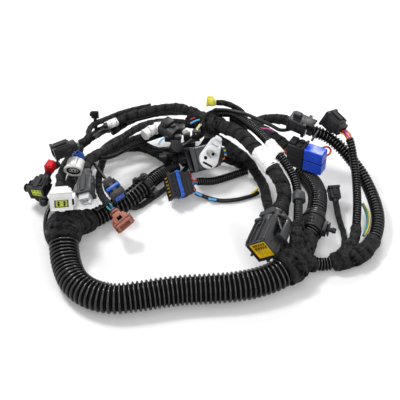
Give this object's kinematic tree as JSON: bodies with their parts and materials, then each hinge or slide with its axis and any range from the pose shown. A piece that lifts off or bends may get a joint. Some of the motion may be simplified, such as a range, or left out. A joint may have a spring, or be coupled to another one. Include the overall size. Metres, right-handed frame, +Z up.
{
  "type": "wiring harness",
  "caption": "Engine-bay wiring harness: corrugated conduits and taped bundles branch at tape junctions and end in plugs, a relay socket and clips.",
  "frame": {"origin": "centre of the harness's outline at its base, as it lies on a flat surface", "axes": "+X along its length, +Y from the front conduit to the back bundles, +Z up"},
  "size_m": [0.3956, 0.2991, 0.0839],
  "materials": {
    "conduit_black": "ribbed, glossy black polypropylene",
    "cloth_tape": "matt black woven harness tape",
    "wire_black": "smooth black wire sheath",
    "boot_rubber": "matt black rubber",
    "housing_black": "satin moulded black",
    "holder_yellow": "satin moulded yellow",
    "lever_grey": "satin moulded light grey",
    "lock_blue": "satin moulded blue",
    "housing_white": "satin moulded white",
    "holder_green": "satin moulded yellow-green",
    "housing_grey": "satin moulded dark grey",
    "lock_clear": "milky moulded plastic",
    "plug_yellow": "satin moulded pale yellow",
    "plug_blue": "satin moulded blue",
    "plug_terracotta": "satin moulded terracotta",
    "relay_blue": "satin moulded royal blue",
    "cap_red": "satin moulded red",
    "tape_white": "matt white paper tape"
  },
  "bodies": {
    "harness": {"main_conduit": "conduit_black", "diagonal_conduit": "conduit_black", "right_conduit": "conduit_black", "fine_conduit": "cloth_tape", "lower_arc": "cloth_tape", "under_branch": "cloth_tape", "short_conduit": "cloth_tape", "clip_branch": "cloth_tape", "outer_conduit": "cloth_tape", "inner_conduit": "cloth_tape", "top_bundle": "cloth_tape", "braided_bundle": "cloth_tape", "second_bundle": "cloth_tape", "outer_arc": "cloth_tape", "second_arc": "cloth_tape", "third_arc": "cloth_tape", "white_plug_branch": "cloth_tape", "black_plug_branch": "cloth_tape", "oval_plug_branch": "cloth_tape", "injector_branch": "cloth_tape", "band_plug_lead": "wire_black", "centre_cable": "cloth_tape", "thin_loop": "wire_black", "socket_bundle": "cloth_tape", "yellow_plug_sleeve": "cloth_tape", "left_tape_junction": "cloth_tape", "right_tape_junction": "cloth_tape", "corner_tape_junction": "cloth_tape", "back_tape_junction": "cloth_tape", "ecu_boot": "boot_rubber", "ecu_plug_housing": "housing_black", "ecu_plug_insert": "holder_yellow", "lever_plug_housing": "housing_black", "wide_plug_housing": "housing_black", "white_plug_housing": "housing_white", "white_plug_insert": "holder_green", "black_plug_housing": "housing_black", "black_plug_insert": "holder_green", "grey_plug_housing": "housing_grey", "grey_plug_lock": "lock_clear", "band_plug_housing": "housing_black", "flat_plug": "housing_black", "sensor_plug": "housing_black", "clip_plug": "housing_black", "yellow_plug": "plug_yellow", "oval_plug_body": "plug_blue", "oval_plug_shell": "housing_white", "injector_plug": "plug_terracotta", "relay_socket": "housing_black", "relay_lower": "relay_blue", "relay_upper": "relay_blue", "conduit_clip": "housing_black", "conduit_clamp": "housing_black", "red_cap": "cap_red", "white_tape": "tape_white", "second_plug": "housing_black", "oval_socket": "housing_black"},
    "lever": {"lever_plug_lever": "lever_grey"},
    "wide_lock": {"wide_plug_lock": "lock_blue"},
    "band_lock": {"band_plug_lock": "lock_blue"}
  },
  "joints": [
    {"name": "lever_swing", "type": "hinge", "parent": "harness", "child": "lever", "pos_m": [0.0048, 0.05939, 0.0381], "axis": [0.3482, -0.6577, 0.668], "range_deg": [0, 60]},
    {"name": "wide_lock_slide", "type": "slide", "parent": "harness", "child": "wide_lock", "axis": [0.3476, -0.4725, 0.8098], "range_m": [0, 0.0025]},
    {"name": "band_lock_slide", "type": "slide", "parent": "harness", "child": "band_lock", "axis": [0.581, -0.7747, -0.2495], "range_m": [0, 0.0025]}
  ]
}
